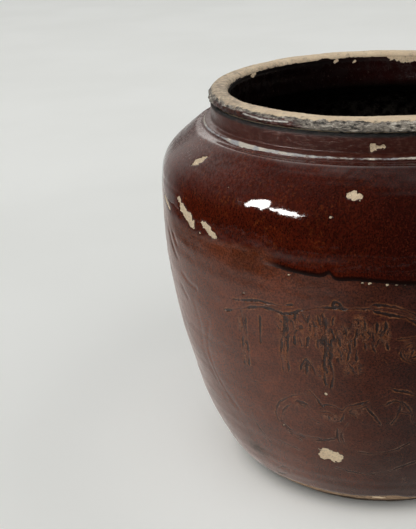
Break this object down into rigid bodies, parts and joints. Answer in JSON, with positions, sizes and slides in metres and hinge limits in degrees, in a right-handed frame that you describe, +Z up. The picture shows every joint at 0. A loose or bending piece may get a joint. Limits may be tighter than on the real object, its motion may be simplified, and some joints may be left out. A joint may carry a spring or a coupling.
{
  "type": "storage jar",
  "caption": "Large wide-mouthed stoneware storage jar: tapering body, round shoulder, short neck with a ledge, thick bare rim, and dark brown glaze in overlapping coats.",
  "frame": {"origin": "centre of the foot, on the surface that the jar stands on", "axes": "+Z up along the jar's axis, towards the mouth; X and Y are free, since the jar is round"},
  "size_m": [0.3972, 0.3972, 0.3537],
  "materials": {
    "bare_clay": "matte fired clay, worn and dirty on the rim",
    "brown_glaze": "glossy milky brown with incised lines under it",
    "dark_glaze": "deep glossy red brown with fine orange specks",
    "inner_glaze": "dark, half-glossy"
  },
  "bodies": {
    "root": {"base_disc": "bare_clay", "lower_wall": "bare_clay", "upper_wall": "bare_clay", "ledge_ring": "bare_clay", "neck_collar": "bare_clay", "rim_roll": "bare_clay", "first_glaze": "brown_glaze", "second_glaze": "dark_glaze", "inner_glaze": "inner_glaze"}
  },
  "joints": []
}
